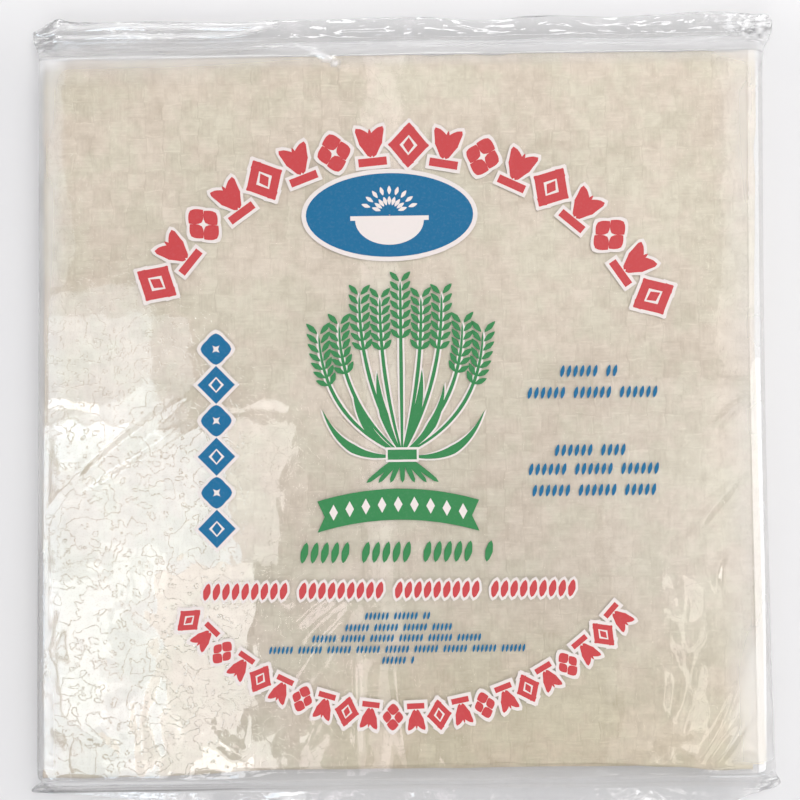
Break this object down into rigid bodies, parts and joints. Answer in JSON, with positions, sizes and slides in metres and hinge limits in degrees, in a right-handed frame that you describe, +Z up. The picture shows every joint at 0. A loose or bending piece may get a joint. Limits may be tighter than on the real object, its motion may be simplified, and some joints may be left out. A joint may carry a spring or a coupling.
{
  "type": "rice paper wrapper stack",
  "caption": "Flat square stack of dried rice paper sheets with a basket-weave emboss, sealed in a clear printed film pack with crimped ends.",
  "frame": {"origin": "on the floor under the middle of the pack's outline", "axes": "+Z up through the stack, +X to the right of the printed face, +Y towards the top seal of the printed face"},
  "size_m": [0.2358, 0.252, 0.0178],
  "materials": {
    "clear_film": "thin clear glossy film, creased, over cream sheets",
    "rice_sheet": "dry translucent rice paper with a basket-weave emboss",
    "print_red": "red ink on film",
    "print_blue": "blue ink on film",
    "print_green": "green ink on film",
    "print_white": "white backing ink on film"
  },
  "bodies": {
    "root": {"film_pack": "clear_film"}
  },
  "joints": []
}
